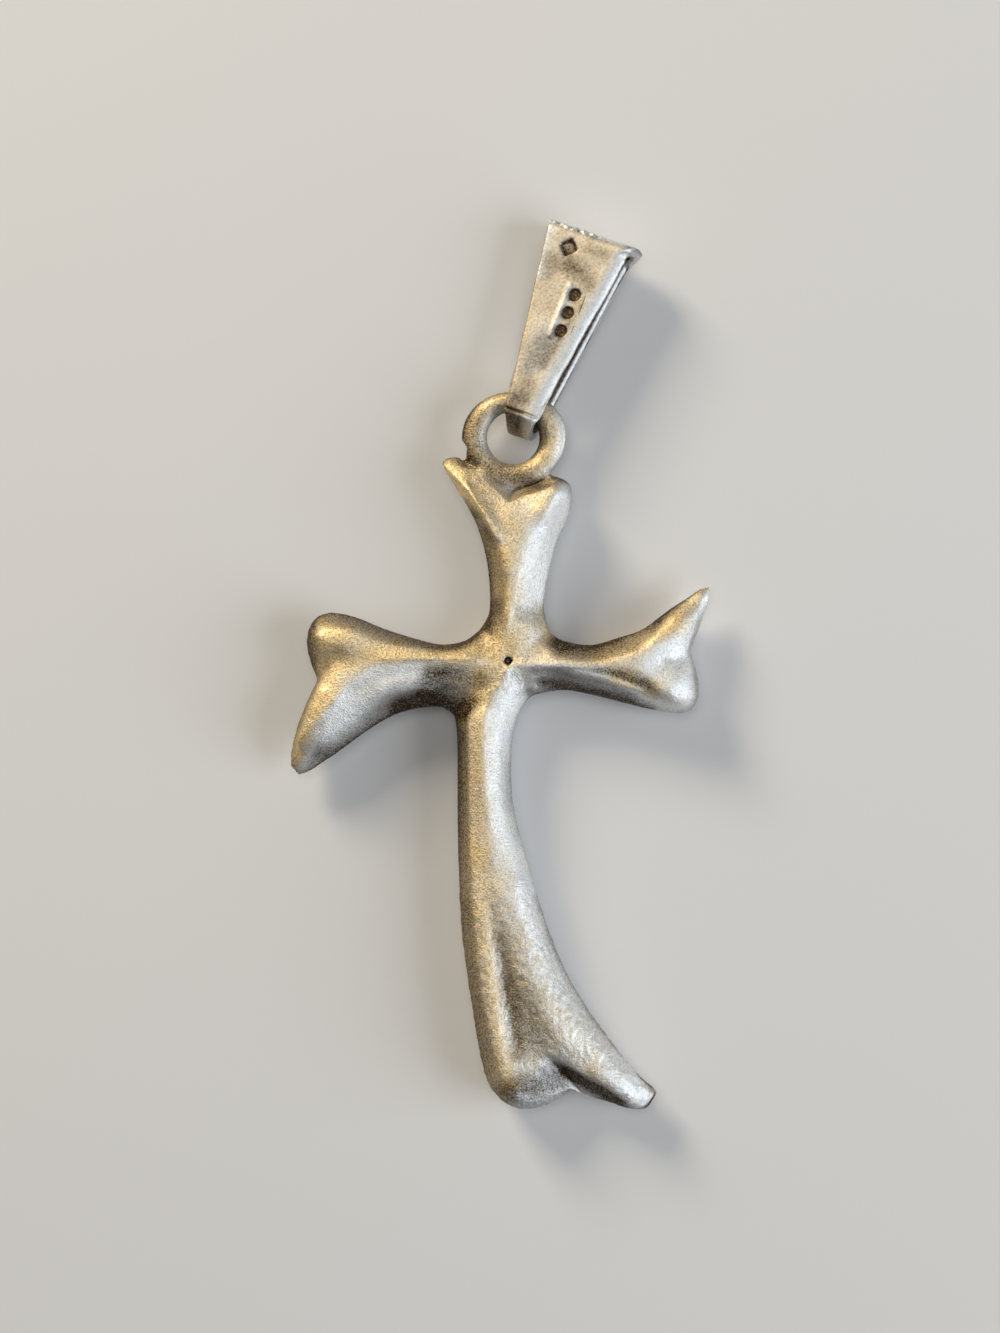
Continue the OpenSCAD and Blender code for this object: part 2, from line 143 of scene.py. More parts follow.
class Skin:
    """The surface of a piece while it is worked, in millimetres."""

    def __init__(self, mesh: bpy.types.Mesh) -> None:
        """Reads a mesh.

        Args:
            mesh: The mesh to work, whose vertices are moved in place.
        """
        self.mesh = mesh
        flat = np.empty(len(mesh.vertices) * 3, np.float32)
        mesh.vertices.foreach_get("co", flat)
        self.points = flat.reshape(-1, 3).astype(float)
        pairs = np.empty(len(mesh.edges) * 2, np.int32)
        mesh.edges.foreach_get("vertices", pairs)
        self.edges = pairs.reshape(-1, 2)
        self.valence = np.bincount(self.edges.ravel(), minlength=len(self.points)).astype(float)

    def settle(self) -> None:
        """Writes the worked points back to the mesh."""
        self.mesh.vertices.foreach_set("co", self.points.astype(np.float32).ravel())
        self.mesh.update()

    def normals(self) -> np.ndarray:
        """Returns the unit normal at each point."""
        self.settle()
        flat = np.empty(len(self.points) * 3, np.float32)
        self.mesh.vertex_normals.foreach_get("vector", flat)
        return flat.reshape(-1, 3).astype(float)

    def spread(self, values: np.ndarray, rounds: int) -> np.ndarray:
        """Averages values with their neighbours', again and again.

        Args:
            values: One number or row for each point.
            rounds: How often to average.

        Returns:
            The smoothed values.
        """
        a, b = self.edges[:, 0], self.edges[:, 1]
        grid = values.reshape(len(self.points), -1)
        for _ in range(rounds):
            total = np.empty_like(grid)
            for k in range(grid.shape[1]):
                column = grid[:, k]
                total[:, k] = np.bincount(a, column[b], len(grid)) + np.bincount(b, column[a], len(grid))
            grid = (grid + total / self.valence[:, None]) / 2.0
        return grid.reshape(values.shape)

    def smooth(self, rounds: int, keep: np.ndarray | None = None) -> None:
        """Smooths the surface.

        Args:
            rounds: How often to average each point with its neighbours.
            keep: Share of each point's old place that stays, or None to smooth all of it.
        """
        soft = self.spread(self.points, rounds)
        self.points = soft if keep is None else soft + (self.points - soft) * keep[:, None]

    def soften(self, rounds: int, crests: np.ndarray | float, valleys: np.ndarray | float,
               rim: float) -> None:
        """Lowers crests and fills valleys without touching the outline.

        Args:
            rounds: How widely to smooth.
            crests: Share by which crests give way.
            valleys: Share by which valleys are filled.
            rim: Height over the middle plane below which less and less moves.
        """
        z = self.points[:, 2]
        change = self.spread(z, rounds) - z
        share = np.where(change * np.sign(z) > 0, valleys, crests)
        self.points[:, 2] = z + change * share * step(np.abs(z), 0.0, rim)

    def painted(self, table: tuple[Stroke, ...]) -> np.ndarray:
        """Adds up strokes on the upper side and leaves the underside bare.

        Args:
            table: The strokes.

        Returns:
            The sum of their weights at each point.
        """
        return sum(stroke.weight(self.points) for stroke in table) * (self.points[:, 2] > 0)

    def press(self, table: tuple[Stroke, ...]) -> None:
        """Raises or lowers the upper side under strokes, whose strengths are in millimetres."""
        self.points[:, 2] += self.painted(table)

    def hollow(self, rounds: int) -> np.ndarray:
        """Measures how far each point lies below the smoothed surface around it.

        Args:
            rounds: How widely to smooth.

        Returns:
            Depths in millimetres, negative on ridges.
        """
        return np.einsum("ij,ij->i", self.spread(self.points, rounds) - self.points, self.normals())

    def grain(self, size: float, depth: np.ndarray, seed: float, stretch: float = 1.0) -> None:
        """Roughens the surface along its normals.

        Args:
            size: Size of one grain.
            depth: Height of the grain at each point.
            seed: Shifts the pattern.
            stretch: How much longer than wide a grain is along y.
        """
        places = self.points / (size, size * stretch, size) + (seed, -seed, 2.0 * seed)
        raise_by = np.array([noise.noise(Vector(p)) for p in places.tolist()])
        self.points += self.normals() * (raise_by * depth)[:, None]

    def cut(self, ceiling: np.ndarray, soft: float) -> None:
        """Lowers the upper side to a ceiling, with a slightly rounded edge.

        Args:
            ceiling: Height over each point that nothing may pass.
            soft: Height over which the edge is rounded.
        """
        z = self.points[:, 2]
        over = np.clip(0.5 + (z - ceiling) / (2.0 * soft), 0.0, 1.0)
        lowered = z + (ceiling - z) * over - soft * over * (1.0 - over)
        self.points[:, 2] = np.where((z > 0) & (over > 0), lowered, z)

    def lay(self, layer: Layer, values: np.ndarray) -> None:
        """Stores a vertex layer for the finish to read.

        Args:
            layer: Which layer.
            values: One share from 0 to 1 for each point.
        """
        data = self.mesh.attributes.new(layer.value, "FLOAT", "POINT")
        data.data.foreach_set("value", np.clip(values, 0.0, 1.0).astype(np.float32))


def merged_copy(node: str, name: str, to_work: Matrix) -> bpy.types.Object:
    """Copies a node's mesh, merges its loose triangles and brings it to a working frame.

    Args:
        node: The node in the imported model.
        name: Name of the new piece.
        to_work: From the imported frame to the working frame.

    Returns:
        The new object, in the scene.
    """
    shell = bmesh.new()
    shell.from_mesh(frame["nodes"][node].data)
    bmesh.ops.remove_doubles(shell, verts=shell.verts, dist=MERGE)
    bmesh.ops.transform(shell, matrix=to_work, verts=shell.verts)
    mesh = bpy.data.meshes.new(name)
    shell.to_mesh(mesh)
    shell.free()
    piece = bpy.data.objects.new(name, mesh)
    bpy.context.collection.objects.link(piece)
    return piece


def reskin(piece: bpy.types.Object, voxel: float) -> Skin:
    """Gives a piece one even, closed skin, so that it can be worked like wax.

    Args:
        piece: The piece, whose mesh is replaced.
        voxel: Size of the skin's squares in millimetres.

    Returns:
        The skin, ready to be worked.
    """
    remesh = piece.modifiers.new("skin", "REMESH")
    remesh.mode = "VOXEL"
    remesh.voxel_size = voxel
    made = bpy.data.meshes.new_from_object(piece.evaluated_get(bpy.context.evaluated_depsgraph_get()))
    piece.modifiers.clear()
    old, piece.data = piece.data, made
    bpy.data.meshes.remove(old)
    made.name = piece.name
    skin = Skin(made)
    skin.smooth(SKIN_ROUNDS)
    return skin


def finish_piece(piece: bpy.types.Object, from_work: Matrix, node: str,
                 material: bpy.types.Material) -> None:
    """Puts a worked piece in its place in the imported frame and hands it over.

    Args:
        piece: The worked piece.
        from_work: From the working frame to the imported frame.
        node: The node that it stands for.
        material: Its finish.
    """
    mesh = piece.data
    mesh.transform(from_work)
    flat = np.empty(len(mesh.vertices) * 3, np.float32)
    mesh.vertices.foreach_get("co", flat)
    inside = np.clip(flat.reshape(-1, 3), np.array(cad_box[0]), np.array(cad_box[1]))
    mesh.vertices.foreach_set("co", inside.astype(np.float32).ravel())
    mesh.shade_smooth()
    mesh.materials.clear()
    mesh.materials.append(material)
    mesh.update()
    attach(piece, "root")
    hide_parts(node)
    log.info("%s: %d vertices, %d faces", piece.name, len(mesh.vertices), len(mesh.polygons))


class Mixer:
    """Adds the nodes of one material."""

    def __init__(self, tree: bpy.types.NodeTree) -> None:
        """Takes a material's nodes.

        Args:
            tree: The nodes.
        """
        self.tree = tree

    def fill(self, node: bpy.types.Node, inputs: Inputs) -> None:
        """Fills a node's inputs.

        Args:
            node: The node.
            inputs: For each input, what is linked to it or the value that it gets.
        """
        for key, value in inputs.items():
            if isinstance(value, Socket):
                self.tree.links.new(value, node.inputs[key])
            else:
                node.inputs[key].default_value = value

    def add(self, kind: str, output: str, inputs: Inputs, **settings: str | bool) -> Socket:
        """Adds a node.

        Args:
            kind: Its type.
            output: Which of its outputs is used.
            inputs: For each input, what is linked to it or the value that it gets.
            settings: The node's own settings.

        Returns:
            The output.
        """
        node = self.tree.nodes.new(kind)
        for name, value in settings.items():
            setattr(node, name, value)
        self.fill(node, inputs)
        return node.outputs[output]

    def noise(self, places: Socket, size: float, detail: float) -> Socket:
        """Adds a cloudy pattern.

        Args:
            places: Coordinates in millimetres.
            size: Size of its patches in millimetres.
            detail: How many finer layers it has.

        Returns:
            Its value.
        """
        inputs = {"Scale": 1.0 / size, "Detail": detail, "Vector": places}
        return self.add("ShaderNodeTexNoise", "Fac", inputs)

    def uneven(self, layer: Layer, pattern: Socket, share: float) -> Socket:
        """Breaks a vertex layer up with a pattern.

        Args:
            layer: The layer.
            pattern: A pattern about 0.5.
            share: How far the pattern moves the layer where it is half strong.

        Returns:
            The uneven layer, from 0 to 1.
        """
        value = self.add("ShaderNodeAttribute", "Fac", {}, attribute_name=layer.value)
        centring = {0: pattern, 1: 4.0 * share, 2: 1.0 - 2.0 * share}
        centred = self.add("ShaderNodeMath", "Value", centring, operation="MULTIPLY_ADD")
        product = {0: value, 1: centred}
        return self.add("ShaderNodeMath", "Value", product, operation="MULTIPLY", use_clamp=True)

    def graded(self, value: Socket, source: Pair, target: tuple[float, float | Socket]) -> Socket:
        """Turns one range of a value into another.

        Args:
            value: The value.
            source: The range in which it is read.
            target: What comes out at the ends of that range.

        Returns:
            The graded value.
        """
        inputs = {"Value": value, "From Min": source[0], "From Max": source[1]}
        inputs |= {"To Min": target[0], "To Max": target[1]}
        return self.add("ShaderNodeMapRange", "Result", inputs)

    def ramp(self, value: Socket, colours: tuple[Colour, ...], places: tuple[float, ...]) -> Socket:
        """Turns a value into colour.

        Args:
            value: The value, from 0 to 1.
            colours: The colours, from 0 to 1.
            places: Where the colours between the first and the last stand.

        Returns:
            The colour.
        """
        node = self.tree.nodes.new("ShaderNodeValToRGB")
        stops = node.color_ramp.elements
        stops[0].color = (*colours[0], 1.0)
        stops[1].color = (*colours[-1], 1.0)
        for place, colour in zip(places, colours[1:-1]):
            stops.new(place).color = (*colour, 1.0)
        self.fill(node, {"Fac": value})
        return node.outputs["Color"]

    def blend(self, share: Socket, low: Socket, high: Colour) -> Socket:
        """Mixes a fixed colour into another.

        Args:
            share: Share of the fixed colour.
            low: The other colour.
            high: The fixed colour.

        Returns:
            The mixed colour.
        """
        inputs = {"Factor": share, "A": low, "B": (*high, 1.0)}
        return self.add("ShaderNodeMix", "Result", inputs, data_type="RGBA")


@dataclass(frozen=True)
class Silver:
    """Tumbled silver: bright on its crests, warm with tarnish and painted warm reflections, brown where
    tarnish lies thick and where shade is painted.
    """

    name: str
    # Colours of the tones in their order, from a painted lilac grey reflection to gold, the places of the
    # middle two, and the colour of tarnish and of painted shade
    lilac_reflection: Colour = (0.36, 0.31, 0.33)
    silver: Colour = (0.875, 0.90, 0.915)
    beige: Colour = (0.84, 0.75, 0.60)
    gold: Colour = (0.92, 0.73, 0.42)
    tone_places: Pair = (0.35, 0.65)
    brown_and_shade: Colour = (0.060, 0.036, 0.016)
    # Roughness of the polish at both ends of the mottle's usual range
    polish: Pair = (0.50, 0.62)
    mottle_range: Pair = (0.3, 0.7)
    # Sizes of the grain and of the mottle, how many finer layers each has, and how deep the grain is
    grain_mm: float = 0.09
    grain_detail: float = 3.0
    grain_depth_mm: float = 0.04
    mottle_mm: float = 0.8
    mottle_detail: float = 4.0
    # Strength of the dark flecks on silver and on gold, the tones of the two, and the grain's peaks
    fleck_silver: float = 0.30
    fleck_gold: float = 0.60
    fleck_tones: Pair = (0.4, 0.9)
    fleck_peaks: Pair = (0.45, 0.72)
    # How far the grain breaks up the tarnish and painted shade, and the mottle the tone and painted
    # reflections
    patchiness: float = 0.45
    tone_patchiness: float = 0.12

    def material(self) -> bpy.types.Material:
        """Builds the finish.

        Returns:
            Its material.
        """
        material = bpy.data.materials.new(self.name)
        material.use_nodes = True
        mixer = Mixer(material.node_tree)
        in_mm = {"Vector": mixer.add("ShaderNodeTexCoord", "Object", {}), "Scale": (1.0 / MM,) * 3}
        places = mixer.add("ShaderNodeMapping", "Vector", in_mm)
        grain = mixer.noise(places, self.grain_mm, self.grain_detail)
        mottle = mixer.noise(places, self.mottle_mm, self.mottle_detail)
        tone_and_reflection = mixer.uneven(Layer.TONE_AND_REFLECTION, mottle, self.tone_patchiness)
        patina_and_shade = mixer.uneven(Layer.PATINA_AND_SHADE, grain, self.patchiness)
        strength = mixer.graded(tone_and_reflection, self.fleck_tones, (self.fleck_silver, self.fleck_gold))
        flecks = mixer.graded(grain, self.fleck_peaks, (0.0, strength))
        metal = mixer.ramp(tone_and_reflection, (self.lilac_reflection, self.silver, self.beige, self.gold), self.tone_places)
        flecked = mixer.blend(flecks, metal, self.brown_and_shade)
        relief = {"Height": grain, "Strength": 1.0, "Distance": self.grain_depth_mm * MM}
        mixer.fill(material.node_tree.nodes["Principled BSDF"], {
            "Metallic": 1.0,
            "Base Color": mixer.blend(patina_and_shade, flecked, self.brown_and_shade),
            "Roughness": mixer.graded(mottle, self.mottle_range, self.polish),
            "Normal": mixer.add("ShaderNodeBump", "Normal", relief),
        })
        return material


@dataclass
class SilverPiece:
    """A piece of silver whose skin is worked like wax, in its own frame and in millimetres."""

    name: str
    node: str
    slot: str
    # Size of the skin's squares
    voxel: float
    skin: Skin = field(init=False, repr=False)

    def build(self, finish: Silver) -> bpy.types.Object:
        """Builds the piece.

        Args:
            finish: Its metal.

        Returns:
            The finished piece.
        """
        from_work = Matrix.Scale(MM, 4) @ self.work_frame()
        piece = merged_copy(self.node, self.name, from_work.inverted())
        self.skin = reskin(piece, self.voxel)
        self.work()
        self.skin.settle()
        finish_piece(piece, from_work, self.node, finish.material())
        return piece

    def work_frame(self) -> Matrix:
        """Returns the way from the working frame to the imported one, in millimetres."""
        raise NotImplementedError

    def work(self) -> None:
        """Works the skin and lays its tarnish and its painted shade and reflections."""
        raise NotImplementedError


# Places on the cross where facets melt into one another: radius, share that gives way, and path
MELTED = strokes(
    (0.85, 1.0, (-0.7, 0.9), (-1.5, 1.4)),
    (0.5, 0.8, (-0.8, -0.9), (-1.5, -1.8)),
    (0.5, 0.8, (1.6, 0.5), (2.3, 0.7)),
    (0.4, 0.8, (-0.8, 0.5), (-0.9, -0.7)),
    (0.7, 1.0, (0.7, 0.7), (1.2, 1.9)),
    (0.45, 0.8, (1.2, 3.0), (1.6, 6.5)),
    (0.9, 1.0, (0.1, -8.5), (0.9, -13.0), (2.0, -16.4), (3.7, -19.4)),
    (0.8, 1.0, (-0.5, -10.6), (-0.2, -13.5)),
    (0.5, 0.8, (4.2, -20.0), (5.4, -21.2)),
    (0.8, 0.8, (-9.2, 1.9), (-8.6, 1.4), (-8.0, 1.2)),
    (0.7, 1.0, (7.2, -1.8), (9.0, -1.7)),
    (0.5, 0.8, (7.0, 0.6), (9.0, 2.9)),
    (0.6, 0.9, (-7.4, -1.6), (-6.4, -1.0)),
)
# Crests of the cross that are worn round: radius, share that gives way, and path
WORN_CRESTS = strokes(
    (0.9, 0.8, (0.6, 5.0), (2.2, 8.4)),
    (1.0, 0.7, (-7.2, 0.6), (-9.0, 1.6)),
    (1.0, 0.8, (7.0, -1.0), (8.8, -1.6)),
    (1.5, 0.4, (-0.5, -8.0), (2.0, -15.0)),
)
# Forms worked into the cross: radius, height added, and path
SWELLS = strokes(
    (0.55, 0.16, (0.1, 4.6), (0.3, 7.4)),
    (0.5, 0.10, (1.2, 4.5), (1.9, 7.3)),
    (0.12, 0.05, (0.02, 5.4), (0.02, 2.0), (-0.4, 0.6)),
    (0.6, 0.06, (0.8, 0.9), (1.1, 1.4)),
    (0.35, 0.15, (4.4, -20.3), (6.6, -22.3)),
    (0.5, -0.10, (5.6, -19.4), (7.2, -21.2)),
    (1.0, -0.5, (7.1, -21.9)),
    (0.6, 0.1, (6.7, 0.1), (7.2, 0.9)),
    (0.6, 0.1, (7.6, -1.5), (7.7, -1.7)),
    (0.25, 0.2, (-3.1, 9.5), (-2.1, 8.4), (-1.25, 7.3), (-0.6, 6.2)),
    (0.3, 0.22, (-9.4, -1.5), (-9.8, -2.5), (-10.3, -4.0)),
    (0.75, 0.14, (0.3, -11.5), (1.2, -16.2), (2.6, -18.6)),
    (0.5, 0.22, (-9.2, -4.0), (-7.6, -2.6), (-6.2, -1.7), (-4.4, -1.4)),
    (0.09, -0.07, (-0.3, -11.95), (0.25, -12.85)),
    (0.8, 0.15, (-8.6, 1.2), (-8.0, 1.3)),
    (0.6, 0.15, (8.0, -1.8), (8.5, -0.9)),
    (0.3, -0.06, (5.4, -0.75), (6.8, -1.25)),
    (0.16, 0.06, (3.0, -0.58), (4.9, -0.85), (6.1, -1.32), (7.3, -1.9)),
    (0.15, -0.08, (7.85, 0.0)),
    (0.6, 0.06, (-0.5, -11.6), (-0.45, -12.8)),
    (0.12, 0.04, (-6.2, 0.16), (-2.0, 0.14)),
    (0.28, -0.05, (-0.85, -11.5), (-0.3, -15.0), (0.3, -19.0)),
    (0.3, -0.05, (-0.5, -13.2), (-0.25, -15.2), (0.3, -19.0)),
    (0.3, -0.05, (-0.3, -15.0), (0.3, -19.0)),
    (0.2, 0.06, (-1.25, -12.3), (-0.87, -15.2), (-0.44, -18.1), (-0.1, -20.2)),
    (0.18, 0.12, (1.25, -1.4), (1.45, -1.6)),
    (0.35, -0.1, (-8.5, 0.3), (-8.4, 0.25)),
)
# Solder that ran along the notch of the ring: radius, height, and path
SOLDER = strokes(
    (0.12, 0.12, (-1.35, 9.4), (-0.6, 9.0), (0.2, 8.5)),
    (0.14, 0.12, (1.95, 8.95), (2.1, 9.0)),
)
# Wall under the point of the bottom arm, which lies in its own shade, painted there as brown: radius,
# share, and path
TIP_WALL_SHADE = strokes(
    (0.6, 1.6, (2.6, -20.3), (6.3, -22.3)),
)
# Brown stains and painted shade on the cross, and painted highlights where it is below nothing: radius, how
# dark, or how clean where it is below nothing, and path
CROSS_STAINS_AND_PAINTED_LIGHT = strokes(
    (0.46, 0.85, (-1.9, -2.2), (-2.8, -2.3), (-4.0, -2.1), (-5.2, -2.4)),
    (0.3, 0.35, (-3.9, -0.4), (-2.4, -0.45)),
    (0.14, 0.35, (-8.72, -1.97), (-9.66, -3.23), (-10.06, -4.34)),
    (0.6, 0.5, (-1.6, -1.1), (-2.6, -1.1), (-3.8, -1.2)),
    (0.5, -0.2, (-6.2, -1.0), (-7.6, -2.2), (-8.6, -3.4)),
    (0.35, 0.3, (-3.2, -0.5), (-4.0, -0.8)),
    (0.5, 0.4, (-9.4, -4.9), (-6.5, -3.2), (-4.3, -2.1)),
    (0.33, 0.35, (-0.5, -13.6), (-0.1, -15.5), (0.5, -19.4)),
    (0.22, 0.1, (-0.95, -9.6), (-0.7, -13.0)),
    (0.35, 0.2, (-1.9, -12.0), (-1.5, -16.0), (-0.9, -20.0)),
    (0.45, -0.3, (5.0, -19.8), (6.8, -21.4)),
    (0.5, 0.2, (0.0, -15.8), (0.6, -18.0), (0.7, -19.6)),
    (0.7, 0.2, (0.9, -16.5), (1.3, -18.6)),
    (0.3, 0.3, (1.6, -11.8), (2.35, -14.0), (4.0, -16.9), (5.8, -19.2)),
    (0.3, 0.25, (-8.5, 0.3), (-8.4, 0.25)),
    (0.28, 0.2, (0.35, 8.0), (1.3, 8.55)),
    (0.22, 0.25, (-0.3, 8.95), (1.1, 8.9)),
    (0.3, 0.35, (-1.9, 9.9), (-1.0, 9.5)),
    (0.28, 0.35, (-1.7, 7.2), (-1.05, 6.0), (-0.85, 4.4), (-0.85, 2.6), (-1.1, 1.9)),
    (0.35, -0.25, (-2.2, 8.1), (-1.5, 6.7), (-0.8, 5.2), (-0.6, 3.6), (-0.9, 2.2)),
    (0.45, 0.4, (0.5, 2.35), (1.6, 2.3)),
    (0.35, 0.1, (1.7, 1.7), (2.1, 1.2)),
    (0.4, 0.42, (-0.6, 9.3), (0.9, 9.2)),
    (0.45, 0.28, (0.3, -20.7), (1.2, -20.7)),
    (0.5, 0.12, (-2.6, -1.1), (-3.8, -1.3)),
    (0.6, 0.06, (0.2, 6.8), (-0.6, 7.6)),
    (0.26, 0.75, (2.9, -20.3), (4.2, -21.0), (5.5, -21.75)),
    (0.6, 0.42, (0.2, -21.0), (1.3, -20.9), (2.5, -20.3)),
    (0.45, 0.32, (-0.1, -21.3), (0.4, -21.7), (1.2, -21.6), (2.7, -21.0)),
    (0.6, -0.85, (5.7, -20.6), (7.1, -22.1)),
    (0.35, -0.15, (2.1, 6.8), (2.5, 8.0)),
    (0.2, 0.35, (1.2, -0.34), (4.1, -0.42), (5.6, -0.7), (6.9, -1.2)),
    (0.4, 0.3, (4.6, -0.56), (5.6, -0.76), (6.2, -0.92), (7.0, -1.4)),
    (0.5, 0.2, (5.2, -0.75), (6.9, -1.35)),
    (0.3, 0.25, (1.8, 0.75), (3.0, 0.55), (4.2, 0.55), (5.4, 0.95)),
    (0.35, 0.3, (1.9, 0.85), (2.5, 0.6)),
    (0.6, -0.5, (0.5, 1.0), (1.5, 0.8)),
    (0.25, 0.5, (1.7, -1.0), (4.5, -1.6), (6.2, -2.15), (7.0, -2.4)),
    (0.15, -0.55, (3.4, -0.62), (4.9, -0.87), (6.1, -1.36), (7.3, -1.95)),
    (0.22, 0.35, (2.2, 0.95), (2.8, 0.85), (4.3, 0.9), (6.0, 1.5), (7.8, 2.75), (9.0, 3.5)),
    (0.17, 0.6, (7.75, 0.05), (7.95, 0.0)),
    (0.2, -0.5, (-3.2, 9.6), (-2.1, 8.45), (-1.1, 7.2), (-0.3, 5.9), (0.02, 4.3), (0.02, 1.9), (-0.4, 0.5)),
    (0.5, -0.7, (-8.9, -0.7), (-9.6, -2.2), (-10.3, -4.2)),
    (0.3, -0.6, (-3.1, 9.4), (-2.3, 8.4)),
    (0.3, -0.35, (-2.3, 8.4), (-1.4, 7.0)),
    (0.16, -0.4, (-6.2, 0.16), (-2.0, 0.14)),
    (0.14, -0.4, (-1.25, -12.3), (-0.87, -15.2), (-0.44, -18.1), (-0.1, -20.4)),
    (0.35, 0.25, (-1.2, 2.0), (-1.6, 1.4), (-2.6, 1.0)),
    (0.4, 0.2, (-1.3, 1.3), (-1.0, 0.9)),
    (0.4, 0.16, (-1.7, 0.7), (-0.7, 0.5)),
    (0.6, 0.2, (-1.0, -1.1), (-1.3, -2.4)),
    (0.7, -0.25, (7.6, 0.4), (8.3, -0.8), (8.3, -1.6)),
    (0.4, 0.22, (9.15, -0.9), (9.0, -1.8)),
    (0.3, 0.15, (8.7, 0.9), (9.3, 2.0)),
    (0.45, 0.38, (-1.6, 10.2), (-1.7, 11.0), (-1.6, 12.0)),
    (0.3, -0.2, (2.25, 10.4), (2.3, 11.8)),
    (0.35, 0.15, (0.1, -5.2), (0.1, -7.0)),
    (0.3, -0.3, (-1.3, 6.6), (-0.7, 5.2), (-0.55, 3.4)),
    (0.36, -0.6, (-1.35, -2.6), (-1.35, -9.4)),
    (0.6, -0.15, (0.6, -9.6), (1.5, -13.0)),
    (0.75, 0.14, (-0.1, -12.8), (0.6, -15.5), (1.6, -18.6)),
)
# Warmer places on the cross, or, below nothing, more silvery ones, partly tarnish and partly painted warm
# and cool reflections: radius, change of tone, and path
CROSS_TONES_AND_REFLECTIONS = strokes(
    (0.7, 0.3, (0.0, 1.0), (-0.2, 6.6), (-2.6, 9.2)),
    (0.6, 0.35, (-2.8, 0.5), (-0.8, 0.5), (-1.3, -1.0)),
    (0.5, 0.12, (-1.4, -1.6), (-1.4, -10.0)),
    (0.6, 0.35, (-8.8, 1.0), (-9.0, -0.8), (-10.0, -4.5)),
    (0.5, 0.4, (4.5, 0.7), (8.3, 1.9)),
    (0.2, 0.35, (-6.4, 0.2), (-2.0, 0.2)),
    (0.6, 0.15, (0.8, 0.8), (1.0, 1.4)),
    (0.45, 0.3, (1.7, 2.2), (2.1, 1.2)),
    (0.6, 0.2, (-1.8, -0.9), (-3.2, -1.1)),
    (0.5, 0.25, (-8.5, 1.2), (-6.8, 0.8)),
    (0.3, -0.4, (-9.0, -2.6), (-9.7, -4.2), (-10.0, -5.2)),
    (0.4, 0.28, (-1.4, -9.5), (-1.2, -12.5), (-0.85, -15.2), (-0.4, -18.4), (0.1, -20.8)),
    (0.6, -0.15, (7.0, -0.4), (7.6, 0.9)),
    (0.45, 0.2, (5.4, -0.75), (6.8, -1.25)),
    (0.55, -0.4, (-6.4, -0.9), (-7.6, -2.0), (-8.8, -3.5)),
    (0.35, -0.3, (-6.2, -0.7), (-4.4, -0.6)),
    (0.4, 0.35, (-8.4, 0.0), (-6.8, 0.2), (-5.5, 0.5)),
    (0.5, -0.35, (5.4, -20.2), (6.9, -21.7)),
    (0.5, 0.2, (0.0, -21.0), (1.4, -20.8)),
    (0.5, -0.35, (7.6, -0.1), (8.3, -0.8)),
)
# Places where a lilac grey reflection is painted: radius, how much, and path
LILAC_REFLECTION = strokes(
    (0.4, 0.25, (1.4, -0.4), (4.4, -0.6)),
    (0.4, 0.15, (-3.4, -1.0), (-5.4, -1.4)),
    (0.6, 0.2, (0.8, -21.0), (1.9, -20.4), (2.6, -20.3)),
)


@dataclass(frozen=True)
class CrossTarnishAndShade:
    """How the cross has tarnished and where shade and reflections are painted on it: ranges over which
    causes grow, and shares of brown and of tone.
    """

    # Ranges in which a wall counts as steep, and as facing left, up the cross and down it, for the painted
    # shade
    steep: Pair = (0.65, 0.2)
    leftward: Pair = (0.45, 0.72)
    upward: Pair = (0.5, 0.85)
    downward: Pair = (0.4, 0.8)
    # Walls that face up count this far from the middle, and walls that face down above and left of here
    up_beside: Pair = (0.8, 1.5)
    down_above: float = -8.0
    down_until: Pair = (7.0, 5.8)
    # Places along the cross where the painted shade on left walls grows, and distances at which the ring
    # begins
    higher: Pair = (-15.0, -5.0)
    ring_edge: Pair = (0.65, 0.2)
    # Depths over which a hollow turns brown, and the rounds of smoothing that tell its depth
    hollow_depths: Pair = (0.02, 0.15)
    hollow_rounds: int = 31
    # Shares of brown: tarnish in hollows and on the ring, painted shade on steep walls and on walls that
    # face left, down and up; and the rounds over which the painted shade's edges run out
    hollow_brown: float = 0.6
    steep_shade: float = 0.42
    left_wall_shade: float = 0.3
    higher_wall_shade: float = 0.35
    down_wall_shade: float = 0.4
    up_wall_shade: float = 0.5
    ring_brown: float = 0.15
    shade_rounds: int = 11
    # Tone of what faces straight up; its gain on sides that face left and loss on sides that face right,
    # and its gain on sides that face up the cross, which are painted warm and cool reflections; its least;
    # and over how many rounds it runs out
    tone_level: float = 0.56
    warm_left_cool_right: float = 0.45
    up_warm_reflection: float = 0.3
    least_level: float = 0.38
    tone_rounds: int = 6
    # Changes of tone on the ring, and on walls that face down, where a lilac grey reflection is painted,
    # and the least that strokes leave
    ring_tone: float = 0.25
    down_lilac_reflection: float = 0.15
    least_tone: float = 0.36


